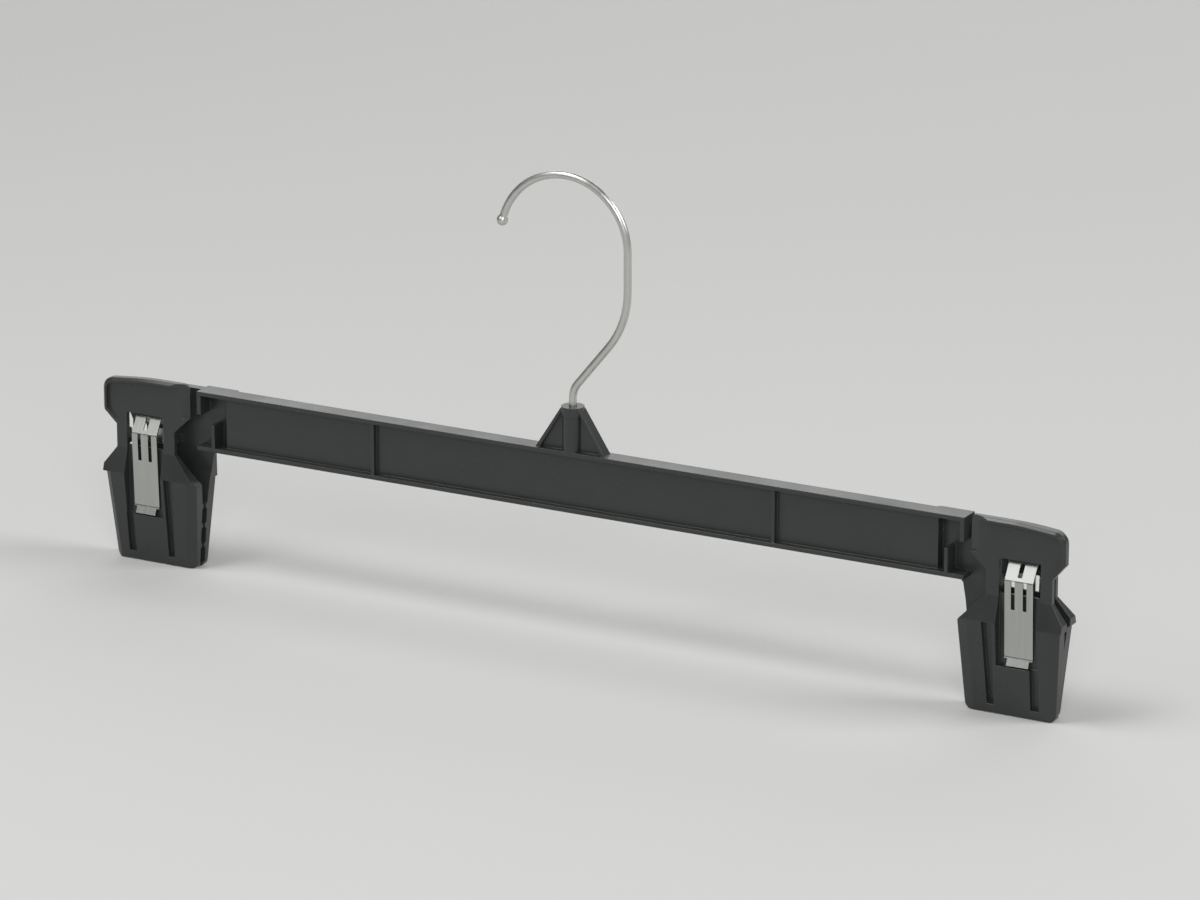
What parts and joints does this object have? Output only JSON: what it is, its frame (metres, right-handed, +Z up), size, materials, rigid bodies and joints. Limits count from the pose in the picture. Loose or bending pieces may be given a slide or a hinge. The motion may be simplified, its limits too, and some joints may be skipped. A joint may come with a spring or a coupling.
{
  "type": "skirt hanger",
  "caption": "Clothes hanger with a moulded I-section bar, a swivelling wire hook and a sprung rocker clip at each end for skirts or trousers.",
  "frame": {"origin": "on the hook's swivel axis, level with the underside of the hook's crown, where a rail carries it", "axes": "+X along the bar, +Y from the front with the moving jaws to the back, +Z up along the swivel axis"},
  "size_m": [0.356, 0.0138, 0.1561],
  "materials": {
    "moulded_plastic": "satin",
    "plated_wire": "polished",
    "spring_steel": "satin"
  },
  "bodies": {
    "hook": {"swivel_hook": "plated_wire"},
    "hanger": {"hanger_body": "moulded_plastic", "left_spring": "spring_steel", "right_spring": "spring_steel"},
    "left_jaw": {"left_front_jaw": "moulded_plastic"},
    "right_jaw": {"right_front_jaw": "moulded_plastic"}
  },
  "joints": [
    {"name": "hook_swivel", "type": "hinge", "parent": "hook", "child": "hanger", "pos_m": [0, 0, -0.082], "axis": [0, 0, 1], "continuous": true},
    {"name": "left_clip", "type": "hinge", "parent": "hanger", "child": "left_jaw", "pos_m": [-0.16135, -0.001, -0.11], "axis": [-1, 0, 0], "range_deg": [0, 14], "stiffness_Nm_per_rad": 0.4, "springref_deg": -28.65, "deforming": ["left_spring"]},
    {"name": "right_clip", "type": "hinge", "parent": "hanger", "child": "right_jaw", "pos_m": [0.16135, -0.001, -0.11], "axis": [-1, 0, 0], "range_deg": [0, 14], "stiffness_Nm_per_rad": 0.4, "springref_deg": -28.65, "deforming": ["right_spring"]}
  ]
}
